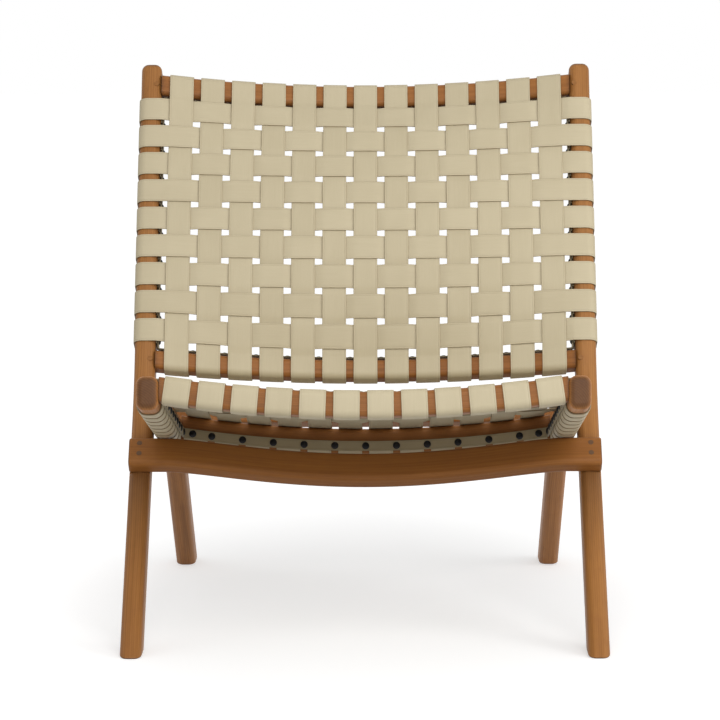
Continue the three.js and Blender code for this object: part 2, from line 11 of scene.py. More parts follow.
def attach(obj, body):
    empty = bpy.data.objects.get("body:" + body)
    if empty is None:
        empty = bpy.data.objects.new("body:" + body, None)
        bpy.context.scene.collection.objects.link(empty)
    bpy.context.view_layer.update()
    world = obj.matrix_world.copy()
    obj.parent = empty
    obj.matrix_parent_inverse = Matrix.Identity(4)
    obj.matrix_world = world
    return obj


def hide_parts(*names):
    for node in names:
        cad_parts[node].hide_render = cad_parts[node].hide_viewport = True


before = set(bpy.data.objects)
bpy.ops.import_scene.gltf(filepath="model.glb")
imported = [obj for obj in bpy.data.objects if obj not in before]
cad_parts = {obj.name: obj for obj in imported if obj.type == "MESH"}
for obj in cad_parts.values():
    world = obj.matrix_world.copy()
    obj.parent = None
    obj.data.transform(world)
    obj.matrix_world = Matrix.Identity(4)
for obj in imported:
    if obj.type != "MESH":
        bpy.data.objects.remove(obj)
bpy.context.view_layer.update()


# The two posts. Each is one bar of oiled hardwood with a slight bend: the front leg below it and
# the side of the back above it. The foot is cut level with the floor, the front face is housed for
# the apron, and a round recess on the outside takes the head of the pivot bolt.
post_outer = 0.310
post_width = 0.028
post_inner = post_outer - post_width
bar_depth = 0.042
bar_face = bar_depth / 2
bar_edge_round = 0.010
foot_round = 0.004
post_top_round = 0.0095
foot_y = -0.267518
front_leg_length = 0.3955
front_leg_angle = math.radians(47)
back_length = 0.487
back_angle = math.radians(63)
post_bend_radius = 0.350
pivot_below_bend = 0.0415
joint_gap = 0.0003
bolt_head_diameter = 0.016
bolt_head_height = 0.004
bolt_head_sunk = 0.001
both_sides = ((-1, "left"), (1, "right"))
cutter_half_width = 0.4
cutter_end = 0.35
same_place = 1e-5
wood_smooth_angle = math.radians(34)


def along(angle):
    return Vector((0, math.cos(angle), math.sin(angle)))


def outward(angle):
    return Vector((0, -math.sin(angle), math.cos(angle)))


def member_place(point, angle):
    """The place of a member: x across the chair, y along the member, z out of its face."""
    return Matrix.Translation(point) @ Matrix.Rotation(angle, 4, "X")


post_foot = Vector((0, foot_y, 0))
post_corner = post_foot + along(front_leg_angle) * front_leg_length
pivot = post_corner - along(front_leg_angle) * pivot_below_bend
leg_place = member_place(pivot, front_leg_angle)
back_place = member_place(post_corner, back_angle)

apron_height = 0.0425
apron_depth = 0.026
apron_housing = 0.005
apron_edge_round = 0.007
strap_thickness = 0.0018
leather_gap = 0.00035
seat_angle = math.radians(-14.4)
apron_back = bar_face - apron_housing
apron_front = apron_back + apron_depth
stop_angle = front_leg_angle - seat_angle
stop_level = -(bar_face + 2 * leather_gap + strap_thickness) - apron_edge_round
stop_forward = (apron_front - apron_edge_round) * math.cos(stop_angle)
apron_top = (stop_level - stop_forward) / math.sin(stop_angle) + apron_edge_round
apron_centre = apron_top - apron_height / 2


def make_active(piece):
    bpy.ops.object.select_all(action="DESELECT")
    piece.select_set(True)
    bpy.context.view_layer.objects.active = piece


def added(name):
    """The piece that an operator has just added, under its own name."""
    piece = bpy.context.object
    piece.name = name
    return piece


def new_object(name, data):
    item = bpy.data.objects.new(name, data)
    bpy.context.scene.collection.objects.link(item)
    return item


def edit(piece):
    make_active(piece)
    bpy.ops.object.mode_set(mode="EDIT")


def leave_edit():
    bpy.ops.object.mode_set(mode="OBJECT")


def pick(piece, kind, wanted):
    """Selects the faces, edges or points that are wanted, in edit mode."""
    bpy.ops.mesh.select_mode(type=kind)
    bpy.ops.mesh.select_all(action="DESELECT")
    shape = bmesh.from_edit_mesh(piece.data)
    for part in {"FACE": shape.faces, "EDGE": shape.edges, "VERT": shape.verts}[kind]:
        if wanted(part):
            part.select_set(True)
    bmesh.update_edit_mesh(piece.data)


def round_edges(offset, segments):
    bpy.ops.mesh.bevel(offset=offset, segments=segments, affect="EDGES")


def extrude_by(move):
    bpy.ops.mesh.extrude_region_move(TRANSFORM_OT_translate={"value": move})


def face_outwards():
    """Turns all faces of the piece in edit mode to the outside."""
    bpy.ops.mesh.select_all(action="SELECT")
    bpy.ops.mesh.normals_make_consistent(inside=False)


def apply_modifier(piece, kind, **settings):
    make_active(piece)
    modifier = piece.modifiers.new(kind.lower(), kind)
    for name, value in settings.items():
        setattr(modifier, name, value)
    bpy.ops.object.modifier_apply(modifier=modifier.name)


def cut_with(piece, cutter):
    apply_modifier(piece, "BOOLEAN", operation="DIFFERENCE", solver="EXACT", object=cutter)
    bpy.data.objects.remove(cutter)


def put(piece, place):
    """Moves a piece's mesh to its place and leaves its object at the origin."""
    make_active(piece)
    piece.matrix_world = place
    bpy.ops.object.transform_apply(location=True, rotation=True, scale=True)
    return piece


def block(name, low, high, place):
    bpy.ops.mesh.primitive_cube_add(size=1)
    middle, size = (low + high) / 2, high - low
    return put(added(name), place @ Matrix.Translation(middle) @ Matrix.Diagonal((*size, 1)))


def round_bar(name, from_x, to_x, diameter, sides=40):
    """A round bar along x on the pivot line."""
    bpy.ops.mesh.primitive_cylinder_add(
        vertices=sides, radius=diameter / 2, depth=abs(to_x - from_x)
    )
    middle = Vector(((from_x + to_x) / 2, 0, 0))
    turned = Matrix.Rotation(math.pi / 2, 4, "Y")
    return put(added(name), Matrix.Translation(pivot + middle) @ turned)


def mark_timber(piece, timber_of, shift):
    """Keeps for each point its place in the straight plank (across, along, through) and how far
    the surface there cuts across the fibres."""
    mesh = piece.data
    mesh.attributes.new("timber", "FLOAT_VECTOR", "POINT")
    mesh.attributes.new("end_grain", "FLOAT", "POINT")
    places, cuts = [], []
    for point in mesh.vertices:
        timber, fibre = timber_of(point.co)
        places.extend(timber + shift)
        cuts.append(abs(point.normal.dot(fibre)))
    mesh.attributes["timber"].data.foreach_set("vector", places)
    mesh.attributes["end_grain"].data.foreach_set("value", cuts)


def smooth_wood(piece):
    make_active(piece)
    bpy.ops.object.shade_smooth_by_angle(angle=wood_smooth_angle)
    apply_modifier(piece, "WEIGHTED_NORMAL", keep_sharp=True)


def bent_bar(name, middle_x, width, corner, start, end, radius, end_round, shift, cutters=()):
    """A bar that runs straight, bends once and runs straight again. start and end hold the
    angle, the length from the corner, and whether that end stands on the floor."""
    turn = end.angle - start.angle
    reach = radius * math.tan(abs(turn) / 2)
    away = math.copysign(1, turn)
    bend_start = corner - along(start.angle) * reach
    bend_centre = bend_start + outward(start.angle) * away * radius
    spare = {True: bar_depth, False: 0}
    first = corner - along(start.angle) * (start.length + spare[start.on_floor])
    bpy.ops.mesh.primitive_plane_add(size=1)
    bar = added(name)
    middle = Vector((middle_x, 0, 0))
    turned = Matrix.Rotation(start.angle + math.pi / 2, 4, "X")
    section = Matrix.Diagonal((width, bar_depth, 1, 1))
    put(bar, Matrix.Translation(first + middle) @ turned @ section)
    edit(bar)
    bpy.ops.mesh.select_all(action="SELECT")
    bpy.ops.mesh.bevel(offset=bar_edge_round, segments=7, affect="VERTICES")
    extrude_by(bend_start - first)
    bpy.ops.mesh.spin(steps=24, angle=-turn, center=bend_centre, axis=(1, 0, 0))
    extrude_by(along(end.angle) * (end.length - reach + spare[end.on_floor]))
    bpy.ops.mesh.select_all(action="SELECT")
    bpy.ops.mesh.remove_doubles(threshold=1e-6)
    face_outwards()
    bpy.ops.mesh.bisect(plane_co=(0, 0, 0), plane_no=(0, 0, 1), use_fill=True, clear_inner=True)

    def is_foot(face):
        return face.normal.z < -0.99 and abs(face.calc_center_median().z) < same_place

    pick(bar, "FACE", is_foot)
    round_edges(foot_round, 4)
    open_end = -along(start.angle) if end.on_floor else along(end.angle)
    pick(bar, "FACE", lambda face: face.normal.dot(open_end) > 0.999)
    round_edges(end_round, 5)
    leave_edit()
    for cutter in cutters:
        cut_with(bar, cutter)

    arc = radius * abs(turn)

    def timber_of(point):
        first_run = (point - corner).dot(along(start.angle))
        second_run = (point - corner).dot(along(end.angle))
        if first_run <= -reach:
            depth = (point - corner).dot(outward(start.angle))
            return Vector((point.x, first_run, depth)), along(start.angle)
        if second_run >= reach:
            depth = (point - corner).dot(outward(end.angle))
            return Vector((point.x, arc - 2 * reach + second_run, depth)), along(end.angle)
        spoke = (point - bend_centre) * -away
        spoke.x = 0
        angle = math.acos(max(-1, min(1, spoke.normalized().dot(outward(start.angle)))))
        run, depth = radius * angle - reach, away * (radius - spoke.length)
        return Vector((point.x, run, depth)), along(start.angle + away * angle)

    mark_timber(bar, timber_of, shift)
    smooth_wood(bar)
    return bar


def add_node(tree, kind, **settings):
    node = tree.nodes.new(kind)
    for name, value in settings.items():
        setattr(node, name, value)
    return node


def fill(node, **values):
    """Sets a node's sockets, given by name with _ for a space, or feeds them from another."""
    for name, value in values.items():
        key = name.replace("_", " ")
        socket = node.inputs[key] if key in node.inputs else node.inputs[int(name.lstrip("n"))]
        if isinstance(value, bpy.types.NodeSocket):
            node.id_data.links.new(value, socket)
        else:
            socket.default_value = value
    return node


def maths(tree, operation, first, second=0.0, third=0.0, clamp=False):
    node = add_node(tree, "ShaderNodeMath", operation=operation, use_clamp=clamp)
    return fill(node, n0=first, n1=second, n2=third).outputs[0]


def vector_maths(tree, operation, first, second):
    node = add_node(tree, "ShaderNodeVectorMath", operation=operation)
    return fill(node, n0=first, n1=second).outputs[0]


def eased(tree, value, low, high, to_low=0.0, to_high=1.0):
    node = add_node(tree, "ShaderNodeMapRange", interpolation_type="SMOOTHSTEP")
    fill(node, Value=value, From_Min=low, From_Max=high, To_Min=to_low, To_Max=to_high)
    return node.outputs["Result"]


def mixed(tree, share, first, second):
    node = add_node(tree, "ShaderNodeMix", data_type="RGBA")
    fill(node, n0=share, n6=first, n7=second)
    return node.outputs[2]


def stained(tree, colour, mask, share, tint):
    """A colour with a share of a tint over it where the mask is 1."""
    return mixed(tree, maths(tree, "MULTIPLY", mask, share), colour, tint)


def weighed(tree, *terms):
    """The sum of values, each times its weight."""
    total = maths(tree, "MULTIPLY", *terms[0])
    for value, weight in terms[1:]:
        total = maths(tree, "ADD", total, maths(tree, "MULTIPLY", value, weight))
    return total


vector_kind, value_kind, colour_kind = "NodeSocketVector", "NodeSocketFloat", "NodeSocketColor"
surface_outputs = (("Color", colour_kind), ("Roughness", value_kind), ("Height", value_kind))


def new_group(name, *inputs):
    """A shared effect that makes a colour, a roughness and a height from its inputs."""
    group = bpy.data.node_groups.new(name, "ShaderNodeTree")
    for way, sockets in (("INPUT", inputs), ("OUTPUT", surface_outputs)):
        for label, kind in sockets:
            group.interface.new_socket(label, in_out=way, socket_type=kind)
    given, made = add_node(group, "NodeGroupInput"), add_node(group, "NodeGroupOutput")
    return group, given.outputs, made


def noise_of(tree, place, scale, detail=2.0, roughness=0.5, output="Fac"):
    node = add_node(tree, "ShaderNodeTexNoise")
    scaled = vector_maths(tree, "MULTIPLY", place, scale)
    fill(node, Vector=scaled, Scale=1.0, Detail=detail, Roughness=roughness)
    return node.outputs[output]


grain, given, made = new_group(
    "oiled wood grain",
    ("Timber", vector_kind), ("End Grain", value_kind), ("Pale Wood", colour_kind),
    ("Deep Wood", colour_kind), ("Heart", vector_kind), ("Ring Strength", value_kind),
)
timber = given["Timber"]
swerve = noise_of(grain, timber, (11.0, 1.9, 11.0), output="Color")
swerve = vector_maths(grain, "SUBTRACT", swerve, (0.5, 0.5, 0.5))
swerve = vector_maths(grain, "MULTIPLY", swerve, (0.016, 0.0, 0.016))
from_heart = vector_maths(grain, "ADD", timber, given["Heart"])
from_heart = vector_maths(grain, "ADD", from_heart, swerve)
rings = add_node(
    grain, "ShaderNodeTexWave", wave_type="RINGS", rings_direction="Y", wave_profile="SAW"
)
fill(rings, Vector=from_heart, Scale=125.0, Distortion=0.0, Detail=0.0)
ring = eased(grain, rings.outputs["Fac"], 0.25, 1.0)
fibre = noise_of(grain, timber, (430, 7, 430), 3.0)
broad = noise_of(grain, timber, (16, 1.6, 16))
streaks = noise_of(grain, from_heart, (80, 2.6, 80), 4.0, 0.6)
mottle = noise_of(grain, timber, (70, 42, 70), 3.0, 0.6)
pores = eased(grain, noise_of(grain, timber, (1900, 55, 1900), 1.0), 0.60, 0.72)
across_fibres = eased(grain, given["End Grain"], 0.30, 0.97)
depth = weighed(
    grain,
    (ring, given["Ring Strength"]),
    (eased(grain, fibre, 0.3, 0.7), 0.27),
    (eased(grain, broad, 0.3, 0.7), 0.33),
)
colour = mixed(grain, depth, given["Pale Wood"], given["Deep Wood"])
for mask, share, tint in (
    (eased(grain, streaks, 0.52, 0.74), 0.34, (0.105, 0.038, 0.011, 1)),
    (eased(grain, mottle, 0.45, 0.75), 0.16, (0.210, 0.078, 0.026, 1)),
    (pores, 0.20, (0.10, 0.035, 0.012, 1)),
    (across_fibres, 0.84, (0.066, 0.028, 0.011, 1)),
    (maths(grain, "MULTIPLY", ring, across_fibres), 0.26, (0.06, 0.022, 0.012, 1)),
):
    colour = stained(grain, colour, mask, share, tint)
height = weighed(grain, (fibre, 0.5), (pores, -1.0))
rough = maths(grain, "MULTIPLY_ADD", fibre, 0.16, 0.40)
fill(made, Color=colour, Roughness=rough, Height=height)


def attribute(tree, name):
    return add_node(tree, "ShaderNodeAttribute", attribute_type="GEOMETRY", attribute_name=name)


def object_place(tree):
    return add_node(tree, "ShaderNodeTexCoord").outputs["Object"]


def surface_material(name, group, inputs, bump, **shader):
    """A material whose colour, roughness and relief come from a shared effect."""
    material = bpy.data.materials.new(name)
    material.use_nodes = True
    tree = material.node_tree
    principled = tree.nodes["Principled BSDF"]
    fill(principled, **shader)
    effect = add_node(tree, "ShaderNodeGroup", node_tree=group)
    for key, value in inputs.items():
        fill(effect, **{key: value(tree) if callable(value) else value})
    relief = add_node(tree, "ShaderNodeBump")
    look = effect.outputs
    fill(relief, Strength=bump[0], Distance=bump[1], Height=look["Height"])
    fill(principled, Base_Color=look["Color"], Roughness=look["Roughness"])
    fill(principled, Normal=relief.outputs["Normal"])
    return material


def wood_material(name, pale, deep, heart, ring_strength=0.22):
    inputs = {
        "Timber": lambda tree: attribute(tree, "timber").outputs["Vector"],
        "End_Grain": lambda tree: attribute(tree, "end_grain").outputs["Fac"],
        "Pale_Wood": (*pale, 1), "Deep_Wood": (*deep, 1),
        "Heart": heart, "Ring_Strength": ring_strength,
    }
    return surface_material(
        name, grain, inputs, (0.35, 0.00025),
        Specular_IOR_Level=0.20, Coat_Weight=0.02, Coat_Roughness=0.35,
    )


def dress(piece, material, slot, body, *nodes):
    piece.data.materials.clear()
    piece.data.materials.append(material)
    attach(piece, body)
    if nodes:
        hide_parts(*nodes)
    return piece


post_wood = wood_material(
    "post oiled wood", (0.375, 0.163, 0.0437), (0.185, 0.0675, 0.0133), (0.045, 0.0, 0.085)
)


def housing_cutter(centre_u, height, floor_n, top_n, place):
    """A block across the chair that cuts the housing of a bar, with the joint's gap round it."""
    low = Vector((-cutter_half_width, centre_u - height / 2 - joint_gap, floor_n - joint_gap))
    high = Vector((cutter_half_width, centre_u + height / 2 + joint_gap, top_n + bar_depth))
    return block("housing", low, high, place)


def bolt_recess(side):
    inner = side * (post_outer - bolt_head_sunk - bolt_head_height - joint_gap)
    return round_bar("recess", inner, side * cutter_end, bolt_head_diameter + 2 * joint_gap)


posts = {}
for side, name in both_sides:
    housing = housing_cutter(apron_centre, apron_height, apron_back, apron_front, leg_place)
    posts[name] = bent_bar(
        f"{name}_post_bar", side * (post_outer - post_width / 2), post_width, post_corner,
        SimpleNamespace(angle=front_leg_angle, length=front_leg_length, on_floor=True),
        SimpleNamespace(angle=back_angle, length=back_length, on_floor=False),
        post_bend_radius, post_top_round, Vector((0.011 * side, 2.6 * side, 0.006)),
        [housing, bolt_recess(side)],
    )
    dress(posts[name], post_wood, "wood", "back_frame", f"{name}_post")


# The front apron, a bar of the same wood bowed back between the legs. It is let a few millimetres
# into the front of both posts and pinned there, and its upper edge stops the seat frame.
apron_bow = 0.037
apron_flat_end = 0.024
apron_bow_power = 1.4
apron_end_round = 0.0025
apron_half_span = post_inner - apron_flat_end


def apron_drop(x):
    return apron_bow * max(0.0, 1 - (x / apron_half_span) ** 2) ** apron_bow_power


def bowed_bar(name, half_length, centre_u, height, centre_n, depth, round_by, drop, place, shift,
              end_round=0.0, steps=48):
    """A straight planed bar with eased edges that is then bowed, one ring of points at a time."""
    low = Vector((-half_length, -height / 2, -depth / 2))
    bar = block(name, low, -low, Matrix.Identity(4))

    def length_along_x(line):
        return abs(line.verts[0].co.x - line.verts[1].co.x)

    def on_corner(point):
        beside_side = abs(abs(point.co.y) - height / 2) < same_place
        return beside_side and abs(abs(point.co.z) - depth / 2) < same_place

    edit(bar)
    pick(bar, "EDGE", lambda line: length_along_x(line) > half_length)
    bpy.ops.mesh.subdivide(number_cuts=steps - 1)
    pick(bar, "EDGE", lambda line: length_along_x(line) > same_place and on_corner(line.verts[0]))
    round_edges(round_by, 5)
    if end_round:
        pick(bar, "FACE", lambda face: abs(face.normal.x) > 0.99)
        round_edges(end_round, 3)
    leave_edit()
    across = Vector((1, 0, 0))
    mark_timber(bar, lambda point: (Vector((point.y, point.x, point.z)), across), shift)
    edit(bar)
    for x in [half_length * (2 * part / steps - 1) for part in range(steps + 1)]:
        fall = drop(x)
        if fall > same_place:
            pick(bar, "VERT", lambda point: abs(point.co.x - x) < same_place)
            bpy.ops.transform.translate(value=(0, 0, -fall))
    leave_edit()
    put(bar, place @ Matrix.Translation((0, centre_u, centre_n)))
    smooth_wood(bar)
    return bar


apron_wood = wood_material(
    "apron oiled wood", (0.34, 0.134, 0.030), (0.165, 0.055, 0.010), (0.030, 0.0, 0.060), 0.10
)
apron = bowed_bar(
    "front_apron_bar", post_outer, apron_centre, apron_height,
    apron_front - apron_depth / 2, apron_depth, apron_edge_round, apron_drop,
    leg_place, Vector((0.013, 4.7, 0.004)), end_round=apron_end_round,
)
dress(apron, apron_wood, "wood", "back_frame", "front_apron")


# The round peg plugs over the pins: two on each post, where the rails are tenoned, and two at
# each end of the apron. They show their side grain, a little darker than the wood around them.
plug_diameter = 0.007
plug_rise = 0.0004
plug_sink = 0.002
plug_inset = 0.0065
plug_edge_round = 0.00025
apron_plug_spacing = 0.016
apron_plug_above_centre = 0.0025
lower_rail_height = 0.026
lower_rail_along_back = 0.0515
top_rail_height = 0.030
top_rail_below_end = 0.032
top_rail_centre = back_length - top_rail_below_end


def peg_plug(name, place):
    bpy.ops.mesh.primitive_cylinder_add(
        vertices=28, radius=plug_diameter / 2, depth=plug_rise + plug_sink
    )
    plug = added(name)
    edit(plug)
    pick(plug, "FACE", lambda face: face.normal.z > 0.9)
    round_edges(plug_edge_round, 2)
    leave_edit()
    put(plug, place @ Matrix.Translation((0, 0, (plug_rise - plug_sink) / 2)))
    fibre = place.to_3x3() @ Vector((1, 0, 0))
    start = place.translation.copy()
    mark_timber(plug, lambda p: (Vector((p.y, (p - start).dot(fibre), p.z)), fibre), start * 7)
    smooth_wood(plug)
    return plug


post_plug_wood = wood_material(
    "post plug wood", (0.32, 0.138, 0.036), (0.165, 0.060, 0.012), (0.004, 0.0, 0.006)
)
apron_plug_wood = wood_material(
    "apron plug wood", (0.15, 0.082, 0.042), (0.085, 0.045, 0.022), (0.004, 0.0, 0.006)
)
for side, name in both_sides:
    for centre_u, level in ((lower_rail_along_back, "lower"), (top_rail_centre, "upper")):
        at = Matrix.Translation((side * (post_inner + plug_inset), centre_u, bar_face))
        plug = peg_plug(f"{name}_post_{level}_plug", back_place @ at)
        dress(plug, post_plug_wood, "wood", "back_frame")
    for end, level in ((-1, "lower"), (1, "upper")):
        centre_u = apron_centre + apron_plug_above_centre + end * apron_plug_spacing / 2
        at = Matrix.Translation((side * (post_outer - post_width / 2), centre_u, apron_front))
        plug = peg_plug(f"{name}_apron_{level}_plug", leg_place @ at)
        dress(plug, apron_plug_wood, "wood", "back_frame")


# The two cross rails of the back, of the same wood. Both are bowed backwards to the sitter's
# shape, with rounded edges that the straps bend over, and are tenoned into the posts. The tenons
# don't show, so each rail ends at the inner faces of the posts here.
back_rail_depth = 0.028
rail_edge_round = 0.007
back_bow = 0.040


def arc_drop(half_span, bow):
    radius = (half_span**2 + bow**2) / (2 * bow)
    return lambda x: math.sqrt(radius**2 - x * x) - (radius - bow)


back_drop = arc_drop(post_inner, back_bow)
rail_wood = wood_material(
    "rail oiled wood", (0.35, 0.140, 0.036), (0.170, 0.058, 0.013), (0.020, 0.0, 0.055), 0.12
)
back_rails = {}
for name, centre_u, height, shift in (
    ("top", top_rail_centre, top_rail_height, 4.3),
    ("lower", lower_rail_along_back, lower_rail_height, 5.9),
):
    back_rails[name] = bowed_bar(
        f"back_{name}_rail_bar", post_inner - joint_gap, centre_u, height,
        bar_face - back_rail_depth / 2, back_rail_depth, rail_edge_round, back_drop,
        back_place, Vector((0.008, shift, 0.011)),
    )
    dress(back_rails[name], rail_wood, "wood", "back_frame", f"back_{name}_rail")


# The straps of the back, thirteen upright and nine across, plainly woven. Each is one flat length
# of pale leather, 32 mm wide, creased along both edges, and wraps once round the rail or post
# before it is nailed on the inside.
strap_width = 0.0322
crossing_reach = -0.003
strap_rise = leather_gap + strap_thickness / 2
strap_lift = (strap_thickness + leather_gap) / 2
strap_edge_fall = 0.00022
shoulder_width = 0.0009
shoulder_fall = 0.00004
crease_inset = 0.0021
crease_depth = 0.00016
crease_outer_slope = 0.0005
crease_inner_slope = 0.0006
crease_lip_fall = 0.00002
flat_point_shares = (0.62, 0.3)
crease_mark_reach = 0.0007
rim_mark_full, rim_mark_gone = 0.00005, 0.0006
leather_edge_round = 0.0004
leather_corner_angle = math.radians(55)
leather_smooth_angle = math.radians(40)
cover_strip_width = 0.0134
middle_bow_share = 0.2
weft_seed = 20
tone_step = 0.37


def strap_columns():
    """Places across a strap, with how far the surface is sunk there."""
    half = strap_width / 2
    middle_of_crease = half - crease_inset
    sides = [
        (half, strap_edge_fall),
        (half - shoulder_width, shoulder_fall),
        (middle_of_crease + crease_outer_slope, crease_lip_fall),
        (middle_of_crease, crease_depth),
        (middle_of_crease - crease_inner_slope, crease_lip_fall),
        *((half * share, 0.0) for share in flat_point_shares),
    ]
    return [(-x, sunk) for x, sunk in sides] + [(0.0, 0.0)] + sides[::-1]


def wrap_run(inner, outer, depth, round_by, strip_below_face):
    """A strap's end round a bar: up its inner face from the tail, round the back, round the
    outer face and onto the front. Each step is a place, a level and the outward direction."""
    away = math.copysign(1, outer - inner)
    front, back = bar_face, bar_face - depth
    end_below_face = strip_below_face - cover_strip_width / 4
    reach = round_by + strap_rise
    halfway = front - (end_below_face + depth - round_by) / 2
    levels = (front - end_below_face, halfway)
    steps = [(inner - away * strap_rise, level, -away, 0.0) for level in levels]
    for centre, first in (
        ((inner + away * round_by, back + round_by), 180),
        ((outer - away * round_by, back + round_by), 270),
        ((outer - away * round_by, front - round_by), 360),
    ):
        for part in range(7):
            angle = math.radians(first + 90 * part / 6)
            out_u, out_n = away * math.cos(angle), math.sin(angle)
            steps.append((centre[0] + reach * out_u, centre[1] + reach * out_n, out_u, out_n))
    return steps


def woven_run(centres, overs, first, last):
    """Places along a strap between two bars, with its lift off the panel's middle level."""
    flat = strap_width / 2 + crossing_reach
    steps = []
    before = (first, 0.0)

    def ease(start, end):
        for part in (0.25, 0.5, 0.75):
            share = part * part * (3 - 2 * part)
            place = start[0] + (end[0] - start[0]) * part
            steps.append((place, start[1] + (end[1] - start[1]) * share))

    for centre, over in zip(centres, overs):
        lift = strap_lift if over else -strap_lift
        ease(before, (centre - flat, lift))
        steps.extend((centre - flat + 2 * flat * part / 5, lift) for part in range(6))
        before = (centre + flat, lift)
    ease(before, (last, 0.0))
    return [(first, 0.0), *steps, (last, 0.0)]


def leather_piece(name, rows, thickness, place, number, closed=False):
    """A sheet through rows of (point, across), as thick as the leather is, with eased edges."""
    sides = len(rows[0])
    spans = len(rows) if closed else len(rows) - 1
    faces = []
    for row in range(spans):
        here, ahead = row * sides, (row + 1) % len(rows) * sides
        for side in range(sides - 1):
            faces.append((here + side, here + side + 1, ahead + side + 1, ahead + side))
    mesh = bpy.data.meshes.new(name)
    mesh.from_pydata([point for row in rows for point, _ in row], [], faces)
    middle = [Vector(row[sides // 2][0]) for row in rows]
    lengths = [0.0]
    for one, two in zip(middle, middle[1:]):
        lengths.append(lengths[-1] + (two - one).length)
    length = lengths[-1] + ((middle[0] - middle[-1]).length if closed else 0.0)
    places = []
    for row, distance in zip(rows, lengths):
        for _, across in row:
            places.extend((across, distance, number * tone_step))
    strap_place = mesh.attributes.new("strap_place", "FLOAT_VECTOR", "POINT")
    strap_place.data.foreach_set("vector", places)
    piece = put(new_object(name, mesh), place)
    apply_modifier(piece, "SOLIDIFY", thickness=thickness, offset=0.0, use_even_offset=True)
    apply_modifier(
        piece, "BEVEL", width=leather_edge_round, segments=2,
        limit_method="ANGLE", angle_limit=leather_corner_angle,
    )
    edit(piece)
    face_outwards()
    leave_edit()
    bpy.ops.object.shade_smooth_by_angle(angle=leather_smooth_angle)
    return piece, length


def panel_level(panel, x, u):
    """The middle level of the weave: flush with the bars, and sunk towards the bowed rails."""
    spread = 2 * (u - panel.start.inner) / (panel.end.inner - panel.start.inner) - 1
    share = middle_bow_share + (1 - middle_bow_share) * min(1.0, abs(spread)) ** 2
    return bar_face + strap_rise - panel.drop(x) * share


def strap_centres(panel):
    """Where the lengthwise straps lie across the panel, and the cross straps along it."""
    warp_pitch = (2 * (panel.half_span - panel.side_margin) - strap_width) / (panel.warps - 1)
    first = panel.start.inner + panel.start_margin + strap_width / 2
    last = panel.end.inner - panel.end_margin - strap_width / 2
    weft_pitch = (last - first) / (panel.wefts - 1)
    warps = [(index - (panel.warps - 1) / 2) * warp_pitch for index in range(panel.warps)]
    return warps, [first + index * weft_pitch for index in range(panel.wefts)]


def warp_strap(name, panel, warp):
    warps, wefts = strap_centres(panel)
    columns = strap_columns()

    def on_rail(step):
        u, n, out_u, out_n = step
        middle = warps[warp] * (1 + panel.splay * (bar_face - n))
        return [
            ((middle + x, u - out_u * sunk, n - out_n * sunk - panel.drop(middle + x)), x)
            for x, sunk in columns
        ]

    def woven(step):
        u, lift = step
        return [
            ((warps[warp] + x, u, panel_level(panel, warps[warp] + x, u) + lift - sunk), x)
            for x, sunk in columns
        ]

    start, end = (
        wrap_run(edge.inner, edge.outer, edge.depth, rail_edge_round, panel.strip_below_face)
        for edge in (panel.start, panel.end)
    )
    overs = [panel.warp_is_over(warp, weft) for weft in range(panel.wefts)]
    run = woven_run(wefts, overs, panel.start.inner, panel.end.inner)
    rows = [on_rail(step) for step in start]
    rows += [woven(step) for step in run]
    rows += [on_rail(step) for step in reversed(end)]
    return leather_piece(name, rows, strap_thickness, panel.place, panel.seed + warp)


def weft_strap(name, panel, weft):
    warps, wefts = strap_centres(panel)
    columns = strap_columns()

    def on_bar(sign, step):
        x, n, out_x, out_n = step
        return [
            ((sign * (x - out_x * sunk), wefts[weft] - u, n - out_n * sunk), u)
            for u, sunk in columns
        ]

    def woven(step):
        x, lift = step
        return [
            ((x, wefts[weft] - u, panel_level(panel, x, wefts[weft] - u) + lift - sunk), u)
            for u, sunk in columns
        ]

    side = wrap_run(
        panel.half_span, panel.outer_span, bar_depth, bar_edge_round, panel.strip_below_face
    )
    overs = [not panel.warp_is_over(warp, weft) for warp in range(panel.warps)]
    run = woven_run(warps, overs, -panel.half_span, panel.half_span)
    rows = [on_bar(-1, step) for step in side]
    rows += [woven(step) for step in run]
    rows += [on_bar(1, step) for step in reversed(side)]
    seed = panel.seed + weft_seed + weft
    return leather_piece(name, rows, strap_thickness, panel.place, seed)


leather, given, made = new_group(
    "strap leather",
    ("Place", vector_kind), ("Spot", vector_kind), ("Half Width", value_kind),
    ("Face", colour_kind), ("Shade", colour_kind), ("Cut Edge", colour_kind),
)
parts = fill(add_node(leather, "ShaderNodeSeparateXYZ"), Vector=given["Place"])
from_middle = maths(leather, "ABSOLUTE", parts.outputs["X"])
from_edge = maths(leather, "SUBTRACT", given["Half Width"], from_middle)
off_crease = maths(leather, "ABSOLUTE", maths(leather, "SUBTRACT", from_edge, crease_inset))
crease_dent_and_shade = eased(leather, off_crease, 0.0, crease_mark_reach, 1.0, 0.0)
rim = eased(leather, from_edge, rim_mark_full, rim_mark_gone, 1.0, 0.0)
own_tone = add_node(leather, "ShaderNodeTexWhiteNoise", noise_dimensions="1D")
fill(own_tone, W=parts.outputs["Z"])
cloudy = noise_of(leather, given["Place"], (26, 9, 40), 3.0)
drag = noise_of(leather, given["Place"], (700, 30, 50))
pebble = noise_of(leather, given["Spot"], (1500, 1500, 1500), 2.0, 0.6)
shade = weighed(
    leather,
    (eased(leather, cloudy, 0.28, 0.72), 0.30),
    (own_tone.outputs["Value"], 0.30),
    (eased(leather, drag, 0.3, 0.7), 0.12),
    (eased(leather, pebble, 0.3, 0.7), 0.14),
)
colour = mixed(leather, shade, given["Face"], given["Shade"])
# Along both creases the colour is darkened towards the cut-edge brown: painted shade in the
# creases' grooves.
colour = stained(leather, colour, crease_dent_and_shade, 0.22, given["Cut Edge"])
colour = stained(leather, colour, rim, 0.75, given["Cut Edge"])
height = weighed(leather, (pebble, 0.55), (drag, 1.0), (crease_dent_and_shade, -1.0))
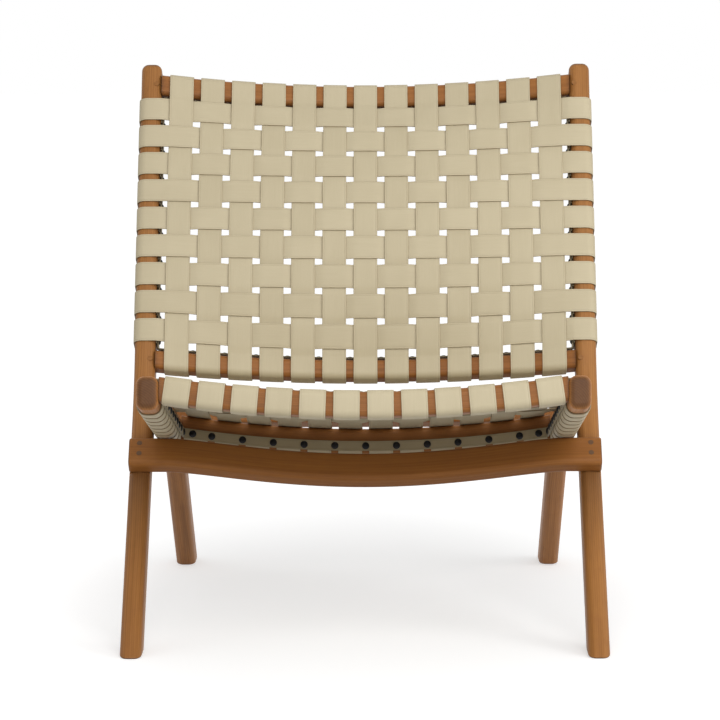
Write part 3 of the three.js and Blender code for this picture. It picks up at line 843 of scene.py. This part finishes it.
rough = maths(leather, "MULTIPLY_ADD", pebble, 0.14, 0.50)
fill(made, Color=colour, Roughness=rough, Height=height)


def leather_material(name, width, face, shade, cut_edge):
    inputs = {
        "Place": lambda tree: attribute(tree, "strap_place").outputs["Vector"],
        "Spot": object_place, "Half_Width": width / 2,
        "Face": (*face, 1), "Shade": (*shade, 1), "Cut_Edge": (*cut_edge, 1),
    }
    return surface_material(name, leather, inputs, (0.30, 0.0002), Specular_IOR_Level=0.35)


strap_leather = leather_material(
    "strap leather", strap_width,
    (0.535, 0.462, 0.312), (0.455, 0.385, 0.250), (0.18, 0.125, 0.062),
)
lower_rail_inner = lower_rail_along_back + lower_rail_height / 2
top_rail_inner = top_rail_centre - top_rail_height / 2
back_panel = SimpleNamespace(
    name="back",
    place=back_place,
    half_span=post_inner,
    outer_span=post_outer,
    drop=back_drop,
    splay=0.0,
    warps=13,
    wefts=9,
    side_margin=0.0119,
    start_margin=0.0115,
    end_margin=0.0077,
    strip_below_face=0.013,
    seed=0,
    warp_is_over=lambda warp, weft: (warp + 8 - weft) % 2 == 0,
    start=SimpleNamespace(
        inner=lower_rail_inner, outer=lower_rail_inner - lower_rail_height, depth=back_rail_depth
    ),
    end=SimpleNamespace(
        inner=top_rail_inner, outer=top_rail_inner + top_rail_height, depth=back_rail_depth
    ),
)


def weave(panel, rails, bars):
    """All straps of a panel, each one a stretched sheet of its own."""
    for kind, count, make, rests in (
        ("warp", panel.warps, warp_strap, rails),
        ("weft", panel.wefts, weft_strap, bars),
    ):
        for index in range(count):
            number = f"{index + 1:02d}"
            piece, length = make(f"{panel.name}_{kind}_leather_{number}", panel, index)
            node = f"{panel.name}_{kind}_strap_{number}"
            dress(piece, strap_leather, "strap_leather", f"{panel.name}_frame", node)


weave(back_panel, list(back_rails.values()), list(posts.values()))


# The cover strip of the back, a narrow strip of the same leather laid over the strap ends all
# round the inside of the frame, and the domed black nails that hold both to the wood.
cover_strip_thickness = 0.0018
stud_diameter = 0.010
stud_height = 0.0026
stud_sink = 0.0006
stud_smooth_angle = math.radians(50)
end_stud_inset = 0.016
strip_corner = 0.003
strip_rim = 0.0008
strip_steps_across = 40
strip_steps_along = 24
strip_seed = 40


def cover_strip(panel):
    name = f"{panel.name}_cover_strip_leather"
    off = 2 * leather_gap + strap_thickness + cover_strip_thickness / 2
    level = bar_face - panel.strip_below_face
    edge_x = panel.half_span - off
    low_u, high_u = panel.start.inner + off, panel.end.inner - off
    run = []
    for x, u, first in (
        (edge_x, high_u, 0),
        (-edge_x, high_u, 90),
        (-edge_x, low_u, 180),
        (edge_x, low_u, 270),
    ):
        centre_x = x - math.copysign(strip_corner, x)
        centre_u = u - math.copysign(strip_corner, u - (low_u + high_u) / 2)
        for part in range(5):
            angle = math.radians(first + 90 * part / 4)
            round_x, round_u = strip_corner * math.cos(angle), strip_corner * math.sin(angle)
            run.append((centre_x + round_x, centre_u + round_u))
        if first in (0, 180):
            ahead = -math.copysign(1, x)
            span = edge_x - strip_corner
            run.extend(
                (ahead * span * (2 * part / strip_steps_across - 1), u)
                for part in range(1, strip_steps_across)
            )
        else:
            next_u = high_u if u == low_u else low_u
            run.extend(
                (x, u + (next_u - u) * part / strip_steps_along)
                for part in range(1, strip_steps_along)
            )
    half = cover_strip_width / 2
    rim = half - strip_rim
    columns = (-half, -rim, -half * 0.5, 0.0, half * 0.5, rim, half)
    rows = [
        [((x, u, level - panel.drop(x) + across), across) for across in columns] for x, u in run
    ]
    strip, length = leather_piece(
        name, rows, cover_strip_thickness, panel.place, panel.seed + strip_seed, closed=True
    )
    return strip, length, SimpleNamespace(edge_x=edge_x, low_u=low_u, high_u=high_u, level=level)


def stud_head():
    """One domed nail head, with its flange on the plane z = 0."""
    bpy.ops.mesh.primitive_uv_sphere_add(segments=14, ring_count=10, radius=stud_diameter / 2)
    head = bpy.context.object
    edit(head)
    bpy.ops.mesh.select_all(action="SELECT")
    bpy.ops.mesh.bisect(plane_co=(0, 0, 0), plane_no=(0, 0, 1), use_fill=True, clear_inner=True)
    pick(head, "FACE", lambda face: face.normal.z < -0.9)
    extrude_by((0, 0, -stud_sink))
    face_outwards()
    leave_edit()
    squat = stud_height / (stud_diameter / 2)
    return put(head, Matrix.Diagonal((1, 1, squat, 1)))


def studs(panel, strip):
    """The nails of a cover strip, between the straps, joined as one group of like fasteners."""
    warps, wefts = strap_centres(panel)
    face = cover_strip_thickness / 2

    def between(places):
        return [(one + two) / 2 for one, two in zip(places, places[1:])]

    splayed = 1 + panel.splay * (bar_face - strip.level)
    inside = [x * splayed for x in between(warps)]
    across = [end_stud_inset - panel.half_span, *inside, panel.half_span - end_stud_inset]
    first_u, last_u = panel.start.inner + end_stud_inset, panel.end.inner - end_stud_inset
    side_n = strip.level - panel.drop(strip.edge_x)
    spots = []
    for x in across:
        n = strip.level - panel.drop(x)
        spots.append(((x, strip.low_u + face, n), (-90, "X")))
        spots.append(((x, strip.high_u - face, n), (90, "X")))
    for u in (first_u, *between(wefts), last_u):
        spots.append(((-strip.edge_x + face, u, side_n), (90, "Y")))
        spots.append(((strip.edge_x - face, u, side_n), (-90, "Y")))
    first = stud_head()
    heads = [first, *(new_object("nail", first.data.copy()) for _ in spots[1:])]
    for head, (spot, (angle, axis)) in zip(heads, spots):
        turn = Matrix.Rotation(math.radians(angle), 4, axis)
        put(head, panel.place @ Matrix.Translation(spot) @ turn)
    make_active(first)
    for head in heads:
        head.select_set(True)
    bpy.ops.object.join()
    first.name = f"{panel.name}_nail_heads"
    bpy.ops.object.shade_smooth_by_angle(angle=stud_smooth_angle)
    return first


strip_leather = leather_material(
    "cover strip leather", cover_strip_width,
    (0.42, 0.355, 0.225), (0.33, 0.275, 0.17), (0.16, 0.125, 0.07),
)
enamel, given, made = new_group("black nail enamel", ("Spot", vector_kind), ("Paint", colour_kind))
worn = eased(enamel, noise_of(enamel, given["Spot"], (420, 420, 420), 3.0), 0.45, 0.75)
fine = noise_of(enamel, given["Spot"], (1800, 1800, 1800), 1.0)
colour = stained(enamel, given["Paint"], worn, 0.5, (0.012, 0.012, 0.013, 1))
rough = maths(enamel, "MULTIPLY_ADD", worn, 0.2, 0.30)
fill(made, Color=colour, Roughness=rough, Height=fine)
nail_enamel = surface_material(
    "black nail enamel", enamel, {"Spot": object_place, "Paint": (0.003, 0.003, 0.004, 1)},
    (0.10, 0.00005), Specular_IOR_Level=0.25,
)


def cover_and_nail(panel):
    """A panel's cover strip with its nails, which go where the strip goes."""
    strip, length, line = cover_strip(panel)
    nails = studs(panel, line)
    body = f"{panel.name}_frame"
    dress(strip, strip_leather, "strip_leather", body, f"{panel.name}_cover_strip")
    dress(nails, nail_enamel, "strip_leather", body)


cover_and_nail(back_panel)


# The two seat bars, bent the other way: the side of the seat in front, the rear leg behind. Their
# front ends are cut square and rounded over, and show the growth rings.
seat_bar_width = 0.0275
side_gap = 0.0045
seat_bar_outer = post_inner - side_gap
seat_bar_inner = seat_bar_outer - seat_bar_width
seat_length = 0.490
rear_leg_angle = math.radians(-39.3)
seat_bend_radius = 0.200
seat_front_rail_height = 0.030
seat_front_rail_depth = 0.031
seat_rear_rail_height = 0.030
seat_rear_rail_depth = 0.035
front_rail_setback = 0.005
rear_rail_before_bend = 0.044
rear_rail_inner = seat_length - rear_rail_before_bend
seat_bow = 0.019
seat_end_round = 0.008
seat_drop = arc_drop(seat_bar_inner, seat_bow)
front_rail_inner = front_rail_setback + seat_front_rail_height
seat_panel = SimpleNamespace(
    name="seat",
    half_span=seat_bar_inner,
    outer_span=seat_bar_outer,
    drop=seat_drop,
    splay=2 * seat_bow / (seat_bar_inner**2 + seat_bow**2),
    warps=12,
    wefts=9,
    side_margin=0.0082,
    start_margin=0.0115,
    end_margin=0.032,
    strip_below_face=0.024,
    seed=50,
    warp_is_over=lambda warp, weft: (warp + weft) % 2 == 1,
    start=SimpleNamespace(
        inner=front_rail_inner, outer=front_rail_setback, depth=seat_front_rail_depth
    ),
    end=SimpleNamespace(
        inner=rear_rail_inner, outer=rear_rail_inner + seat_rear_rail_height,
        depth=seat_rear_rail_depth,
    ),
)
pivot_along_seat = sum(strap_centres(seat_panel)[1][-2:]) / 2
seat_front_end = pivot - along(seat_angle) * pivot_along_seat
seat_corner = seat_front_end + along(seat_angle) * seat_length
rear_leg_length = -seat_corner.z / math.sin(rear_leg_angle)
seat_panel.place = member_place(seat_front_end, seat_angle)

stretcher_height = 0.026
stretcher_depth = 0.018
stretcher_past_bend = 0.005
stretcher_housing = 0.0015
stretcher_edge_round = 0.004
stretcher_end_round = 0.002
seat_bend_reach = seat_bend_radius * math.tan((seat_angle - rear_leg_angle) / 2)
stretcher_turn = -(stretcher_past_bend + seat_bend_reach) / seat_bend_radius
stretcher_angle = seat_angle + stretcher_turn
seat_bend_centre = (
    seat_corner - along(seat_angle) * seat_bend_reach - outward(seat_angle) * seat_bend_radius
)
stretcher_place = member_place(
    seat_bend_centre + outward(stretcher_angle) * seat_bend_radius, stretcher_angle
)
stretcher_bottom = bar_face - stretcher_housing

# The seat bars' wood is paler than the posts': painted light that lifts the rear legs, which stand
# in the chair's shade.
seat_bar_wood = wood_material(
    "seat bar oiled wood", (0.48, 0.205, 0.056), (0.240, 0.088, 0.020), (0.022, 0.0, 0.030)
)
seat_bars = {}
for side, name in both_sides:
    housing = housing_cutter(
        0.0, stretcher_height, stretcher_bottom, stretcher_bottom, stretcher_place
    )
    middle_x = side * (seat_bar_outer - seat_bar_width / 2)
    seat_bars[name] = bent_bar(
        f"{name}_seat_bar_wood", middle_x, seat_bar_width, seat_corner,
        SimpleNamespace(angle=seat_angle, length=seat_length, on_floor=False),
        SimpleNamespace(angle=rear_leg_angle, length=rear_leg_length, on_floor=True),
        seat_bend_radius, seat_end_round, Vector((-middle_x, 2.3 * side, -0.004)), [housing],
    )
    dress(seat_bars[name], seat_bar_wood, "wood", "seat_frame", f"{name}_seat_bar")


# The cross rails of the seat, of the same wood and bowed downwards, and the flat stretcher that
# is let into the tops of the seat bars behind the leather.
seat_rails = {}
for name, starts_at, height, depth_n, shift in (
    ("front", front_rail_setback, seat_front_rail_height, seat_front_rail_depth, 7.7),
    ("rear", rear_rail_inner, seat_rear_rail_height, seat_rear_rail_depth, 9.1),
):
    seat_rails[name] = bowed_bar(
        f"seat_{name}_rail_bar", seat_bar_inner - joint_gap, starts_at + height / 2, height,
        bar_face - depth_n / 2, depth_n, rail_edge_round, seat_drop,
        seat_panel.place, Vector((0.006, shift, 0.014)),
    )
    dress(seat_rails[name], rail_wood, "wood", "seat_frame", f"seat_{name}_rail")

stretcher = bowed_bar(
    "rear_stretcher_bar", seat_bar_outer, 0.0, stretcher_height,
    stretcher_bottom + stretcher_depth / 2, stretcher_depth, stretcher_edge_round,
    lambda x: 0.0, stretcher_place, Vector((0.010, 10.3, 0.003)),
    end_round=stretcher_end_round, steps=2,
)
dress(stretcher, rail_wood, "wood", "seat_frame", "rear_stretcher")


# The straps of the seat, twelve lengthwise and nine across, woven and wrapped like the back's,
# with their cover strip and black nails on the inside of the frame.
weave(seat_panel, list(seat_rails.values()), list(seat_bars.values()))
cover_and_nail(seat_panel)


# The pivot hardware: on each side a steel bolt with a round head and a six-sided socket, turned in
# from the outside of the post, and a turned steel sleeve that keeps post and seat bar apart.
bolt_diameter = 0.006
bolt_reach = 0.020
bolt_head_edge_round = 0.0008
bolt_tip_chamfer = 0.0006
socket_width = 0.006
socket_depth = 0.0026
socket_cutter_rise = 0.002
sleeve_diameter = 0.0084
bore_cutter_start = 0.2
turning_gap = 0.0003
steel_smooth_angle = math.radians(32)

steel, given, made = new_group("turned steel", ("Spot", vector_kind), ("Metal", colour_kind))
turned_marks = noise_of(steel, given["Spot"], (3000, 300, 300))
smudge = eased(steel, noise_of(steel, given["Spot"], (180, 180, 180)), 0.35, 0.7)
colour = stained(steel, given["Metal"], smudge, 0.35, (0.30, 0.29, 0.28, 1))
rough = maths(steel, "MULTIPLY_ADD", smudge, 0.18, 0.26)
fill(made, Color=colour, Roughness=rough, Height=turned_marks)
pivot_steel = surface_material(
    "turned steel", steel, {"Spot": object_place, "Metal": (0.53, 0.53, 0.52, 1)},
    (0.08, 0.00004), Metallic=1.0,
)

for side, name in both_sides:
    head_outer = side * (post_outer - bolt_head_sunk)
    head_inner = head_outer - side * bolt_head_height
    tip = side * (seat_bar_outer - bolt_reach)
    bolt = round_bar(f"{name}_pivot_bolt_steel", head_inner, head_outer, bolt_head_diameter, 48)
    edit(bolt)
    pick(bolt, "FACE", lambda face: face.normal.x * side > 0.9)
    round_edges(bolt_head_edge_round, 3)
    pick(bolt, "FACE", lambda face: face.normal.x * side < -0.9)
    bpy.ops.mesh.inset(thickness=(bolt_head_diameter - bolt_diameter) / 2)
    extrude_by((tip - head_inner, 0, 0))
    round_edges(bolt_tip_chamfer, 1)
    leave_edit()
    socket_floor = head_outer - side * socket_depth
    socket_top = head_outer + side * socket_cutter_rise
    cut_with(bolt, round_bar("socket", socket_floor, socket_top, socket_width, 6))
    bpy.ops.object.shade_smooth_by_angle(angle=steel_smooth_angle)
    dress(bolt, pivot_steel, "steel", "seat_frame", f"{name}_pivot_bolt")

    sleeve_outer = side * (post_inner - turning_gap)
    sleeve_inner = side * (seat_bar_outer + turning_gap)
    sleeve = round_bar(f"{name}_pivot_sleeve_steel", sleeve_inner, sleeve_outer, sleeve_diameter)
    bore_diameter = bolt_diameter + 2 * turning_gap
    cut_with(sleeve, round_bar("bore", side * bore_cutter_start, side * cutter_end, bore_diameter))
    bpy.ops.object.shade_smooth_by_angle(angle=steel_smooth_angle)
    dress(sleeve, pivot_steel, "steel", "seat_frame", f"{name}_pivot_sleeve")


# The studio: a wide pale floor under an even white light, one large soft lamp in front above the
# chair and a weaker one at each side. The floor shows white to the camera and keeps the shadows.
floor_place = Vector((0, 4, 0))
floor_grey = (0.64, 0.64, 0.64)
shade_middle = Vector((0.03, -0.12, 0.0))
shade_shape = (2.35, 1.25, 0.0)
shade_full_within, shade_gone_beyond = 0.6, 1.5
glow_in_shade, glow_far_off = 0.475, 0.70
world_strength = 0.52


def on_rays(tree, *kinds):
    """1 on rays of the given kinds and 0 on all others."""
    path = add_node(tree, "ShaderNodeLightPath")
    total = path.outputs[kinds[0]]
    for kind in kinds[1:]:
        total = maths(tree, "ADD", total, path.outputs[kind], clamp=True)
    return total


bpy.ops.mesh.primitive_plane_add(size=24, location=floor_place)
floor = added("studio_floor")
floor_paint = bpy.data.materials.new("studio floor")
floor_paint.use_nodes = True
floor_tree = floor_paint.node_tree
floor_shader = floor_tree.nodes["Principled BSDF"]
fill(floor_shader, Base_Color=(*floor_grey, 1), Roughness=0.9, Specular_IOR_Level=0.0)
to_world = floor_place - shade_middle
from_chair = vector_maths(floor_tree, "ADD", object_place(floor_tree), to_world)
from_chair = vector_maths(floor_tree, "MULTIPLY", from_chair, shade_shape)
distance = fill(add_node(floor_tree, "ShaderNodeVectorMath", operation="LENGTH"), n0=from_chair)
# The glow is weaker in an oval round the chair, which paints a soft shade on the floor there
# beside the real shadows; further off the floor shows white.
level = eased(
    floor_tree, distance.outputs["Value"],
    shade_full_within, shade_gone_beyond, glow_in_shade, glow_far_off,
)
direct = on_rays(floor_tree, "Is Camera Ray", "Is Glossy Ray")
glow = maths(floor_tree, "MULTIPLY", direct, level)
fill(floor_shader, Emission_Color=(1, 1, 1, 1), Emission_Strength=glow)
floor.data.materials.append(floor_paint)

world = bpy.data.worlds.new("studio")
bpy.context.scene.world = world
world.use_nodes = True
world_tree = world.node_tree
world_tree.nodes.clear()
direct = on_rays(world_tree, "Is Camera Ray", "Is Glossy Ray", "Is Transmission Ray")
strength = eased(world_tree, direct, 0.0, 1.0, world_strength, 1.0)
backdrop = add_node(world_tree, "ShaderNodeBackground")
fill(backdrop, Color=(1, 1, 1, 1), Strength=strength)
fill(add_node(world_tree, "ShaderNodeOutputWorld"), Surface=backdrop.outputs[0])

lamp_aim = Vector((0, 0, 0.35))
for name, spot, size, power in (
    ("front softbox", (0.5, -3.1, 2.2), 2.4, 64),
    ("right softbox", (2.2, -1.2, 1.3), 1.4, 22),
    ("left softbox", (-2.6, -0.4, 1.7), 1.6, 4),
):
    lamp_data = bpy.data.lights.new(name, "AREA")
    lamp_data.shape = "SQUARE"
    lamp_data.size = size
    lamp_data.energy = power
    lamp = new_object(name, lamp_data)
    lamp.location = spot
    lamp.rotation_euler = (lamp_aim - Vector(spot)).to_track_quat("-Z", "Y").to_euler()


# The camera stands a long way in front, a little higher than the chair, and looks slightly down,
# as the photograph does.
camera_place = (0.0248, -4.2478, 0.8831)
camera_turn, camera_tilt, camera_roll = 0.0075, 0.1266, -0.0030
camera_data = bpy.data.cameras.new("camera")
camera_data.sensor_width = 36.0
camera_data.lens = 160.08
camera_data.clip_end = 100
camera = new_object("camera", camera_data)
camera.matrix_world = (
    Matrix.Translation(camera_place)
    @ Matrix.Rotation(camera_turn, 4, "Z")
    @ Matrix.Rotation(math.pi / 2 - camera_tilt, 4, "X")
    @ Matrix.Rotation(camera_roll, 4, "Z")
)
bpy.context.scene.camera = camera
bpy.context.scene.view_settings.view_transform = "Standard"
